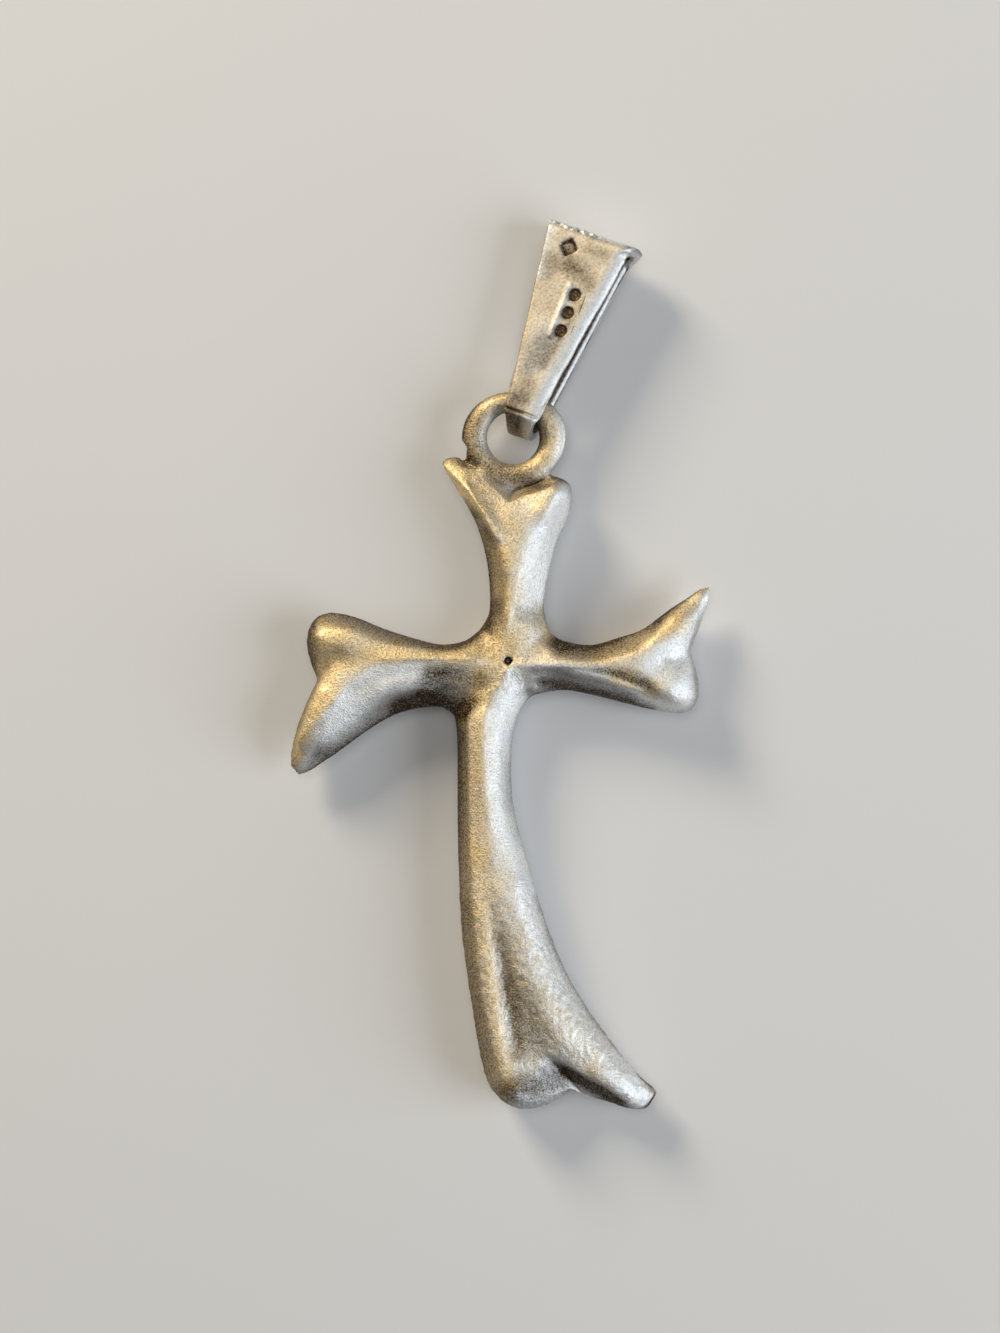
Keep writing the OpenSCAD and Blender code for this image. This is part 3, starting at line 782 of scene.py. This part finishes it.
@dataclass
class CastCross(SilverPiece):
    """The cast cross and the ring soldered into the notch of its top arm."""

    name: str = "cast_cross"
    node: str = "cross"
    slot: str = "cast_silver"
    voxel: float = 0.096
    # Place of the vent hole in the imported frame
    vent: tuple[float, float, float] = (0.372, 0.175, 1.6)
    # Softening of the facets, of the melted places and of all: rounds, and height at which it is full
    facets: tuple[int, float] = (70, 0.4)
    melting: tuple[int, float] = (235, 0.5)
    last_softening: tuple[int, float] = (11, 0.3)
    # Least and most that crests give way, how far valleys fill, and where the bottom arm is worn
    crest_wear: Pair = (0.15, 0.9)
    valley_fill: float = 0.95
    arm_worn: Pair = (-8.0, -14.0)
    # Ring: its centre, the radii of its centre line and of its wire, and how many times its outer
    # radius the skin is left hard
    ring: Pair = (0.25, 11.05)
    ring_line: float = 1.925
    ring_wire: float = 0.625
    ring_keep: float = 1.3
    # Share by which the ring's wire is thicker at its right and thinner at its top, how many wires
    # away that ends, and the angles from its right at which it starts and ends
    ring_thicker: float = 0.09
    ring_thinner: float = 0.2
    ring_reach: float = 1.2
    ring_start: Pair = (-0.6, 0.2)
    ring_end: Pair = (3.6, 2.6)
    # Notch at the ring: foot of its two walls, height of the solder shelf, slopes of left and right wall
    notch_left: Pair = (-1.3, 9.5)
    notch_foot: Pair = (0.28, 8.4)
    notch_right: Pair = (1.75, 8.95)
    shelf: float = 0.28
    notch_slopes: Pair = (1.5, 1.9)
    # Notch in the foot: its inner end, a point on the rim of each wall, its height and the walls' slopes
    foot_notch: Pair = (1.85, -19.35)
    foot_left: Pair = (0.75, -21.1)
    foot_right: Pair = (5.2, -21.05)
    foot_height: float = 1.22
    foot_slopes: Pair = (0.5, 1.3)
    # Height over which the rims of both notches are rounded
    notch_round: float = 0.05
    # Points of the forks: place, a place on their axis, how far back they are thickened, and by what
    # share. The last one, at the foot, is blunt
    points: tuple[tuple[Pair, Pair, float, float], ...] = (
        ((9.98, 3.79), (8.15, 1.42), 1.2, 0.5),
        ((-10.2, -5.76), (-8.2, -1.9), 1.2, 0.3),
        ((-3.4, 9.9), (-1.4, 7.9), 1.0, 0.4),
        ((7.1, -22.1), (4.9, -20.0), 1.6, 0.3),
    )
    # Length of a point's round end, how many of its reaches count as near, and its last smoothing
    point_end: float = 0.3
    point_near: float = 1.5
    point_rounds: int = 6
    point_smooth: Pair = (0.3, 1.0)
    # Corners of the blunt end, how far from it the skin is pressed back, and how softly
    blunt_end: tuple[Pair, ...] = ((7.3, -21.35), (6.5, -22.55))
    blunt_reach: float = 1.5
    blunt_soft: float = 0.12
    # Grain: width, length over width, height, what the foot has more, the least share, and the pattern
    grain: float = 0.18
    grain_length: float = 1.8
    grain_height: float = 0.028
    foot_grain: float = 0.018
    least_grain: float = 0.4
    grain_seed: float = 7.0
    # Where the grain grows: down the bottom arm, towards the vent hole, and at the foot
    arm_rough: Pair = (-8.0, -13.0)
    vent_rough: Pair = (2.2, 1.0)
    foot_rough: Pair = (-9.0, -15.0)
    tarnish_and_shade: CrossTarnishAndShade = CrossTarnishAndShade()

    def work_frame(self) -> Matrix:
        """Returns the way from the vent hole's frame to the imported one, in millimetres."""
        return Matrix.Translation(self.vent)

    def work(self) -> None:
        """Softens and wears the cast forms, cuts the notches and lays grain, tarnish and painted shade and
        reflections.
        """
        self._soften()
        self._wear_ring()
        self._cut_ring_notch()
        self._cut_foot_notch()
        self._round_points()
        self._blunt_tip()
        self.skin.press(SOLDER)
        self._roughen()
        self._lay_tarnish_and_shade()

    def _from_ring(self) -> np.ndarray:
        """Returns how far each point lies from the ring's centre."""
        return np.linalg.norm(self.skin.points[:, :2] - np.array(self.ring), axis=1)

    def _soften(self) -> None:
        """Turns the flat facets into the soft forms of worn cast metal, softer down the bottom arm."""
        outside = self.ring_line + self.ring_wire
        free = step(self._from_ring(), outside, self.ring_keep * outside)
        worn = self.skin.painted(WORN_CRESTS) + step(self.skin.points[:, 1], *self.arm_worn)
        least, most = self.crest_wear
        crests = np.clip(least + worn, 0.0, most) * free
        rounds, rim = self.facets
        self.skin.soften(rounds, crests, self.valley_fill * free, rim)
        melted = self.skin.painted(MELTED).clip(0.0, 1.0) * free
        rounds, rim = self.melting
        self.skin.soften(rounds, melted, melted, rim)
        self.skin.press(SWELLS)
        rounds, rim = self.last_softening
        self.skin.soften(rounds, crests, free, rim)

    def _wear_ring(self) -> None:
        """Thins the ring's wire at the top, where the strap rubs, and thickens its right side."""
        flat = self.skin.points[:, :2] - np.array(self.ring)
        away = self._from_ring()
        turn = np.arctan2(flat[:, 1], flat[:, 0])
        inner = self.ring_line - self.ring_wire
        free = step(turn, *self.ring_start) * step(turn, *self.ring_end)
        free = (away < self.ring_line + self.ring_reach * self.ring_wire) * free
        thicker = self.ring_thicker * np.cos(turn).clip(0.0)
        grow = (thicker - self.ring_thinner * np.sin(turn).clip(0.0) ** 2) * free
        wider = inner + (away - inner) * (1.0 + grow)
        moved = (wider / np.maximum(away, inner) - 1.0) * (away > inner)
        self.skin.points[:, :2] += flat * moved[:, None]

    def _past_wall(self, corner: Pair, end: Pair) -> np.ndarray:
        """Measures how far points lie below the line of a notch's wall.

        Args:
            corner: Where the notch's two walls meet.
            end: Another point of the wall's line.

        Returns:
            Distances from the line, positive down the cross.
        """
        way = np.subtract(end, corner)
        down = np.array((way[1], -way[0]) if way[0] > 0 else (-way[1], way[0]))
        return (self.skin.points[:, :2] - corner) @ (down / np.linalg.norm(down))

    def _cut_ring_notch(self) -> None:
        """Cuts the notch down to the solder shelf, round the foot of the ring."""
        wall_shade = zip((self.notch_left, self.notch_right), self.notch_slopes)
        rise = np.maximum(*(slope * self._past_wall(self.notch_foot, end) for end, slope in wall_shade))
        off_line = self._from_ring() - self.ring_line
        wire = np.sqrt(np.maximum(self.ring_wire ** 2 - off_line ** 2, 0.0))
        self.skin.cut(np.maximum(np.maximum(self.shelf, wire), self.shelf + rise), self.notch_round)

    def _cut_foot_notch(self) -> None:
        """Cuts the two walls that meet in the notch of the foot."""
        wall_shade = zip((self.foot_left, self.foot_right), self.foot_slopes)
        fall = np.minimum(*(slope * self._past_wall(self.foot_notch, end) for end, slope in wall_shade))
        self.skin.cut(self.foot_height - fall, self.notch_round)

    def _round_points(self) -> None:
        """Thickens the sharp points of the forks towards their ends, as casting leaves them."""
        for tip, towards, reach, wider in self.points:
            inward = np.subtract(towards, tip) / np.linalg.norm(np.subtract(towards, tip))
            across = np.array((-inward[1], inward[0]))
            offset = self.skin.points[:, :2] - tip
            along = offset @ inward
            rounded = np.sqrt(1.0 - (1.0 - along / self.point_end).clip(0.0, 1.0) ** 2)
            near = step(along, reach, 0.0) * rounded
            near *= np.linalg.norm(offset, axis=1) < self.point_near * reach
            self.skin.points[:, :2] += across * ((offset @ across) * near * wider)[:, None]
        tips = np.array([tip for tip, *_ in self.points[:-1]])
        away = np.linalg.norm(self.skin.points[:, None, :2] - tips, axis=2).min(axis=1)
        self.skin.smooth(self.point_rounds, step(away, *self.point_smooth))

    def _blunt_tip(self) -> None:
        """Flattens the end of the bottom arm's point, as if it had been nipped off."""
        a, b = np.array(self.blunt_end)
        soft = self.blunt_soft
        out = np.array((a[1] - b[1], b[0] - a[0])) / np.linalg.norm(a - b)
        past = (self.skin.points[:, :2] - a) @ out
        near = self.skin.points[:, 0] > a[0] - self.blunt_reach
        pushed = np.where(near, past - soft + soft * np.exp(-np.clip(past, 0.0, None) / soft), 0.0)
        self.skin.points[:, :2] -= out * (np.clip(pushed, 0.0, None) * (past > 0))[:, None]

    def _roughen(self) -> None:
        """Gives the cross its grain, coarser round the vent hole and down the bottom arm."""
        x, y, _ = self.skin.points.T
        rough = np.maximum(step(y, *self.arm_rough), step(np.hypot(x, y), *self.vent_rough))
        depth = self.grain_height * rough.clip(self.least_grain)
        depth = depth + self.foot_grain * step(y, *self.foot_rough)
        self.skin.grain(self.grain, depth, self.grain_seed, self.grain_length)

    def _lay_tarnish_and_shade(self) -> None:
        """Lays brown tarnish in hollows, painted shade on steep walls and on walls that face left, up and
        down, and painted warm reflections on sides that face up and left.
        """
        look = self.tarnish_and_shade
        x, y, _ = self.skin.points.T
        normals = self.skin.normals()
        hollow = step(self.skin.hollow(look.hollow_rounds), *look.hollow_depths)
        # Painted shade: brown on steep walls and on walls that face left, up the cross and down it, where
        # shade falls on them
        upright = step(np.abs(normals[:, 2]), *look.steep)
        left = step(-normals[:, 0], *look.leftward)
        up = step(normals[:, 1], *look.upward) * step(np.abs(x), *look.up_beside)
        beneath = self.skin.painted(TIP_WALL_SHADE) + (y > look.down_above)
        down = step(-normals[:, 1], *look.downward) * beneath * step(x, *look.down_until)
        ring = step(np.abs(self._from_ring() - self.ring_line), *look.ring_edge)
        # Strokes of stains, of painted shade and of painted highlights
        stains = self.skin.painted(CROSS_STAINS_AND_PAINTED_LIGHT)
        wall_shade = (look.left_wall_shade + look.higher_wall_shade * step(y, *look.higher)) * left
        wall_shade = wall_shade + look.down_wall_shade * down + look.up_wall_shade * up
        shade = self.skin.spread(look.steep_shade * upright + wall_shade * (1.0 - ring), look.shade_rounds)
        self.skin.lay(Layer.PATINA_AND_SHADE, look.hollow_brown * hollow + shade + stains + look.ring_brown * ring)
        # Painted reflections: warmer on sides that face left and up the cross, more silvery on sides that
        # face right
        tone_and_reflection = look.tone_level - look.warm_left_cool_right * normals[:, 0] + look.up_warm_reflection * normals[:, 1]
        tone_and_reflection = self.skin.spread(np.maximum(tone_and_reflection, look.least_level), look.tone_rounds)
        tone_and_reflection = np.maximum(tone_and_reflection + look.ring_tone * ring + self.skin.painted(CROSS_TONES_AND_REFLECTIONS), look.least_tone)
        # Painted lilac grey reflection on walls that face down and under its strokes
        self.skin.lay(Layer.TONE_AND_REFLECTION, tone_and_reflection - look.down_lilac_reflection * down - self.skin.painted(LILAC_REFLECTION))


# Raised rims at the left of the strap's marks: radius, height, and path
STRAP_RIMS = strokes(
    (0.13, 0.06, (0.02, -1.9), (0.02, -4.5)),
)
# Brown stains on the strap, the first four in its marks: radius, how dark, and path
STRAP_STAINS = strokes(
    (0.26, 0.8, (0.4, -2.27)),
    (0.26, 0.8, (0.4, -3.22)),
    (0.26, 0.8, (0.4, -4.17)),
    (0.3, 0.5, (-0.76, -0.14)),
    (0.5, 0.35, (-0.1, -4.9), (-0.2, -5.7)),
    (0.3, 0.4, (-0.6, -7.9), (0.0, -7.9)),
    (0.5, 0.5, (-0.6, -8.7), (0.0, -9.2)),
    (0.35, 0.25, (-1.5, -1.0), (-1.2, -1.6)),
    (0.45, 0.2, (-0.9, -0.8), (-0.2, -0.9)),
    (0.4, 0.3, (-0.3, -1.0), (0.5, -1.1), (1.1, -1.6)),
    (0.3, 0.2, (0.3, 0.3), (1.0, 0.2)),
    (0.3, 0.2, (-0.6, -6.3), (-0.2, -7.2)),
    (0.22, 0.2, (0.2, -6.0), (0.6, -4.6), (1.0, -2.6)),
)
# More silvery places on the strap, the last two painted highlights on the marks' rims and on the left edge:
# radius, change of tone, and path
STRAP_TONES_AND_HIGHLIGHTS = strokes(
    (0.7, -0.2, (-0.1, -4.9), (-0.3, -6.0)),
    (0.15, -0.25, (0.02, -1.9), (0.02, -4.5)),
    (0.25, -0.3, (-2.0, 0.6), (-1.7, -1.8)),
)


@dataclass(frozen=True)
class StrapTarnishAndShade:
    """How the strap has tarnished and where shade and highlights are painted on it: ranges over which
    causes grow, and shares of brown and of tone.
    """

    # Walls that face the other leg, where shade is painted, and how far in from the right edge they count
    inward: Pair = (0.1, 0.4)
    inward_from: Pair = (0.10, 0.18)
    # Bare band along the right edge, worn and with a painted highlight, golden band along the left one, and
    # the burrs along the fold
    bare_highlight_band: Pair = (0.9, 0.4)
    left_band: Pair = (0.5, 0.0)
    burrs: Pair = (0.70, 0.90)
    # Depths over which a hollow turns brown, and the rounds of smoothing that tell its depth
    hollow_depths: Pair = (0.006, 0.04)
    hollow_rounds: int = 20
    # Shares of brown, with painted shade on the walls that face the other leg
    hollow_brown: float = 0.9
    inward_shade: float = 0.6
    face_brown: float = 0.33
    bare_highlight_brown: float = 0.18
    burr_brown: float = -0.3
    # Tone of the face, and what it gains or loses elsewhere, with a painted cool reflection on sides that
    # face right
    tone_level: float = 0.62
    left_tone: float = 0.1
    bare_highlight_tone: float = -0.16
    burr_tone: float = -0.25
    right_cool_reflection: float = -0.2


@dataclass
class StrapBail(SilverPiece):
    """The folded strap that hangs on the ring."""

    name: str = "strap_bail"
    node: str = "bail"
    slot: str = "strap_silver"
    voxel: float = 0.05
    thickness: float = 0.45
    # Half width where the strap turns round the ring and at its fold, and the places of the two
    ring_half: float = 0.9
    fold_half: float = 2.25
    ring_y: float = -8.0
    fold_y: float = 1.03
    # Height of the front face at the ring and at the fold, how square the fold is, where 2 is round,
    # and the share of its size in its middle that stays as it is
    ring_height: float = 1.40
    fold_height: float = 1.03
    squareness: float = 4.0
    fold_core: float = 0.01
    # Wear of the front leg's right and left edges and of the back leg's inner right edge: width, drop
    right_edge: Pair = (0.70, 0.28)
    left_edge: Pair = (0.15, 0.07)
    back_edge: Pair = (0.20, 0.18)
    # Depths below the front face over which its wear ends, heights that count as the back leg's inside,
    # depth of that, and where it ends at the fold
    face_depths: Pair = (0.35, 0.02)
    inside_heights: Pair = (0.0, -0.2)
    inside_depth: float = 0.15
    inside_end: Pair = (0.3, 0.0)
    # The fold's right end bulges out: by how much, and where that starts and is full
    flare: float = 0.25
    flare_from: float = 0.29
    flare_to: float = 0.80
    # How far the bulge's side leans inwards at the top, how far in that reaches, and where it starts
    corner: float = 0.30
    corner_width: float = 0.5
    corner_from: Pair = (0.1, 0.6)
    # Heights that count as the front leg
    front: Pair = (0.3, 0.8)
    # Seam: its place, how far it is worn down towards the ring, and how far away that ends
    seam_y: float = -7.72
    seam_shift: float = 0.65
    seam_reach: float = 1.5
    # Softening of the seam: its half width, how far to the right it starts, rounds, and full height
    seam_half: Pair = (0.6, 0.3)
    seam_from: Pair = (-0.1, 0.4)
    seam_rounds: int = 60
    seam_rim: float = 0.3
    # How far the back leg's right edge is drawn in, and where: depth, side, fold end and ring end
    back_shift: float = 0.13
    back_depths: Pair = (0.2, -0.3)
    back_side: Pair = (0.0, 0.8)
    back_fold: Pair = (0.9, -1.0)
    back_ring: Pair = (-9.5, -7.5)
    # Marks: where they are before, how far around they count, and how far they are moved on the face
    dots_middle: Pair = (-0.1, -3.2)
    dots_half_length: Pair = (2.4, 1.5)
    dots_half_width: Pair = (1.1, 0.6)
    dots_shift: float = 0.4
    lozenge_middle: Pair = (-0.56, -0.24)
    lozenge_radius: Pair = (1.0, 0.5)
    lozenge_shift: Pair = (-0.2, 0.1)
    # Burrs at the fold and slow waves all over: size, height and pattern; and where the burrs are
    burrs: tuple[float, float, float] = (0.25, 0.16, 3.0)
    waves: tuple[float, float, float] = (1.1, 0.03, 5.0)
    burrs_y: Pair = (0.72, 0.92)
    burrs_z: Pair = (0.5, 0.8)
    burrs_x: Pair = (1.6, -0.4)
    tarnish_and_shade: StrapTarnishAndShade = StrapTarnishAndShade()

    def work_frame(self) -> Matrix:
        """Finds the strap's frame from the record's mount.

        Returns:
            The way from the strap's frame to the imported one, in millimetres.
        """
        mount = frame["record"]["mounts"][0]
        across = Vector(mount["axis"]).normalized()
        along = Vector((0.0, 0.0, 1.0)).cross(across).normalized()
        turned = Matrix((across, along, across.cross(along))).transposed().to_4x4()
        return Matrix.Translation(Vector(mount["pos_m"]) / MM) @ turned

    def work(self) -> None:
        """Presses the fold flat, wears the edges and lays grain, tarnish and painted shade and highlights.
        """
        self._square_fold()
        self._shift_edges()
        self._wear_edges()
        self._roughen()
        self._lay_tarnish_and_shade()

    def _half_width(self, y: np.ndarray) -> np.ndarray:
        """Returns half the strap's width at each place along it."""
        return np.interp(y, (self.ring_y, self.fold_y), (self.ring_half, self.fold_half))

    def _from_right(self) -> np.ndarray:
        """Returns how far each point lies inwards of the strap's right edge."""
        x, y, _ = self.skin.points.T
        return self._half_width(y) + self.flare * step(y, self.flare_from, self.flare_to) - x

    def _face_height(self, y: np.ndarray) -> np.ndarray:
        """Returns the height of the front face at each place along the strap."""
        return np.interp(y, (self.ring_y, 0.0), (self.ring_height, self.fold_height))

    def _square_fold(self) -> None:
        """Turns the round fold into the tighter one of a strap pressed flat."""
        y, z = self.skin.points[:, 1] / self.fold_y, self.skin.points[:, 2] / self.fold_height
        power = self.squareness
        round_size = np.hypot(y, z)
        square_size = (np.abs(y) ** power + np.abs(z) ** power) ** (1.0 / power)
        grow = np.where(y > 0, round_size / np.maximum(square_size, self.fold_core), 1.0)
        self.skin.points[:, 1:] *= grow[:, None]

    def _shift_edges(self) -> None:
        """Moves the seam towards the ring, draws the back leg in and shifts the marks on the face."""
        x, y, z = self.skin.points.T
        front = step(z, *self.front)
        seam = step(y, self.seam_y + self.seam_reach, self.seam_y)
        seam = seam * step(y, self.seam_y - self.seam_reach, self.seam_y)
        back = step(z, *self.back_depths) * step(x, *self.back_side)
        back = back * step(y, *self.back_fold) * step(y, *self.back_ring)
        dots = step(np.abs(y - self.dots_middle[1]), *self.dots_half_length)
        dots = dots * step(np.abs(x - self.dots_middle[0]), *self.dots_half_width)
        from_lozenge = np.hypot(x - self.lozenge_middle[0], y - self.lozenge_middle[1])
        lozenge = step(from_lozenge, *self.lozenge_radius)
        right, up = self.lozenge_shift
        marks = self.dots_shift * dots * front + right * lozenge * front
        self.skin.points[:, 0] += marks - self.back_shift * back
        self.skin.points[:, 1] += up * lozenge * front - self.seam_shift * seam * front

    def _wear_edges(self) -> None:
        """Slopes the right edges, rounds the left one and leans the bulge's side inwards."""
        x, y, z = self.skin.points.T
        half = self._half_width(y)
        face = self._face_height(y)
        deep, shallow = self.face_depths
        near_face = step(z, face - deep, face - shallow)
        right = self._from_right()
        for inward, (width, drop) in ((right, self.right_edge), (half + x, self.left_edge)):
            share = np.clip(1.0 - inward / width, 0.0, 1.0)
            self.skin.points[:, 2] -= drop * share ** 2 * near_face
        width, drop = self.back_edge
        floor = self.thickness - face
        inner = step(z, *self.inside_heights) * step(z, floor - self.inside_depth, floor)
        share = np.clip(1.0 - (half - self.back_shift - x) / width, 0.0, 1.0)
        self.skin.points[:, 2] -= drop * share * inner * step(y, *self.inside_end)
        bulge = step(right, self.corner_width, 0.0) * step(y, *self.corner_from)
        self.skin.points[:, 0] -= self.corner * bulge * (z / self.fold_height).clip(0.0, 1.0) ** 2

    def _roughen(self) -> None:
        """Leaves burrs along the fold, slow waves all over, raised rims at the marks and a worn seam."""
        x, y, z = self.skin.points.T
        burr = step(y, *self.burrs_y) * step(z, *self.burrs_z) * step(x, *self.burrs_x)
        for (size, height, seed), share in ((self.burrs, burr), (self.waves, np.ones(len(x)))):
            self.skin.grain(size, height * share, seed)
        self.skin.press(STRAP_RIMS)
        seam = step(np.abs(y - self.seam_y + self.seam_shift), *self.seam_half)
        self.skin.soften(self.seam_rounds, 0.0, seam * step(x, *self.seam_from) * (z > 0), self.seam_rim)

    def _lay_tarnish_and_shade(self) -> None:
        """Lays brown in the marks and stains, painted shade between the legs, gold at the left edge, bare
        silver with a painted highlight at the right one, and a painted cool reflection on sides that face
        right.
        """
        look = self.tarnish_and_shade
        x, y, z = self.skin.points.T
        normals = self.skin.normals()
        right = self._from_right()
        # Painted shade on the walls that face the other leg
        inside = step(-normals[:, 2] * np.sign(z), *look.inward)
        inside = inside * step(right - self.back_shift, *look.inward_from)
        stains = self.skin.painted(STRAP_STAINS)
        # Bare band at the right edge: wear and a painted highlight
        bare_and_highlight = step(right, *look.bare_highlight_band)
        hollow = step(self.skin.hollow(look.hollow_rounds), *look.hollow_depths)
        burr = step(y, *look.burrs)
        brown_and_shade = look.hollow_brown * hollow + look.inward_shade * inside
        brown_and_shade = brown_and_shade + (look.face_brown + stains) * (1.0 - bare_and_highlight) + look.bare_highlight_brown * bare_and_highlight
        self.skin.lay(Layer.PATINA_AND_SHADE, brown_and_shade + look.burr_brown * burr)
        tone_and_reflection = look.tone_level + look.left_tone * step(self._half_width(y) + x, *look.left_band)
        tone_and_reflection = tone_and_reflection + look.bare_highlight_tone * bare_and_highlight + look.burr_tone * burr
        # Painted cool reflection on sides that face right
        tone_and_reflection = tone_and_reflection + look.right_cool_reflection * normals[:, 0].clip(0.0)
        self.skin.lay(Layer.TONE_AND_REFLECTION, tone_and_reflection + self.skin.painted(STRAP_TONES_AND_HIGHLIGHTS))


@dataclass(frozen=True)
class SoftLight:
    """A soft studio light that looks at the pendant."""

    name: str
    place: tuple[float, float, float]
    size: float
    watts: float
    colour: Colour

    def build(self) -> None:
        """Adds the light to the scene."""
        lamp = bpy.data.lights.new(self.name, "AREA")
        lamp.size = self.size
        lamp.energy = self.watts
        lamp.color = self.colour
        holder = bpy.data.objects.new(self.name, lamp)
        holder.location = self.place
        holder.rotation_euler = (-Vector(self.place)).to_track_quat("-Z", "Y").to_euler()
        bpy.context.collection.objects.link(holder)


@dataclass
class Studio:
    """Pale floor, soft lights and a camera straight above the pendant, in metres."""

    floor_size: float = 1.2
    floor_colour: Colour = (0.70, 0.71, 0.73)
    floor_roughness: float = 0.9
    floor_shine: float = 0.1
    sky: Colour = (0.10, 0.097, 0.093)
    camera_height: float = 0.18
    nearest_seen: float = 0.01
    picture_width: float = 0.05
    picture_middle: Pair = (-0.00003, -0.0001)
    sensor: float = 36.0
    lights: tuple[SoftLight, ...] = (
        SoftLight("cool_right", (0.25, -0.06, 0.15), 0.22, 0.56, (0.90, 0.95, 1.0)),
        SoftLight("warm_left", (-0.17, 0.22, 0.14), 0.10, 0.75, (1.0, 0.88, 0.68)),
        SoftLight("overhead", (-0.03, 0.05, 0.45), 0.20, 0.42, (1.0, 0.96, 0.90)),
    )

    def build(self) -> None:
        """Builds the floor, the sky, the lights and the camera."""
        self._floor()
        world = bpy.data.worlds.new("studio")
        world.use_nodes = True
        world.node_tree.nodes["Background"].inputs["Color"].default_value = (*self.sky, 1.0)
        bpy.context.scene.world = world
        for light in self.lights:
            light.build()
        self._camera()
        bpy.context.scene.view_settings.view_transform = "Standard"

    def _floor(self) -> None:
        """Lays the pale floor under the pendant."""
        plane = bmesh.new()
        bmesh.ops.create_grid(plane, x_segments=1, y_segments=1, size=self.floor_size / 2.0)
        mesh = bpy.data.meshes.new("floor")
        plane.to_mesh(mesh)
        plane.free()
        floor = bpy.data.objects.new("floor", mesh)
        bpy.context.collection.objects.link(floor)
        material = bpy.data.materials.new("pale_floor")
        material.use_nodes = True
        shader = material.node_tree.nodes["Principled BSDF"]
        shader.inputs["Base Color"].default_value = (*self.floor_colour, 1.0)
        shader.inputs["Roughness"].default_value = self.floor_roughness
        shader.inputs["Specular IOR Level"].default_value = self.floor_shine
        mesh.materials.append(material)

    def _camera(self) -> None:
        """Puts the camera straight above the pendant."""
        camera = bpy.data.cameras.new("camera")
        camera.sensor_fit = "HORIZONTAL"
        camera.sensor_width = self.sensor
        camera.lens = self.sensor * self.camera_height / self.picture_width
        camera.clip_start = self.nearest_seen
        holder = bpy.data.objects.new("camera", camera)
        holder.location = (*self.picture_middle, self.camera_height)
        bpy.context.collection.objects.link(holder)
        bpy.context.scene.camera = holder


def main() -> None:
    """Builds the pendant and its studio, in order."""
    logging.basicConfig(level=logging.INFO, format="%(name)s: %(message)s")
    CastCross().build(Silver("cast_silver"))
    StrapBail().build(Silver("strap_silver", grain_mm=0.12, grain_depth_mm=0.01,
                             fleck_silver=0.2, fleck_gold=0.42, patchiness=0.22))
    Studio().build()


if __name__ == "__main__":
    main()
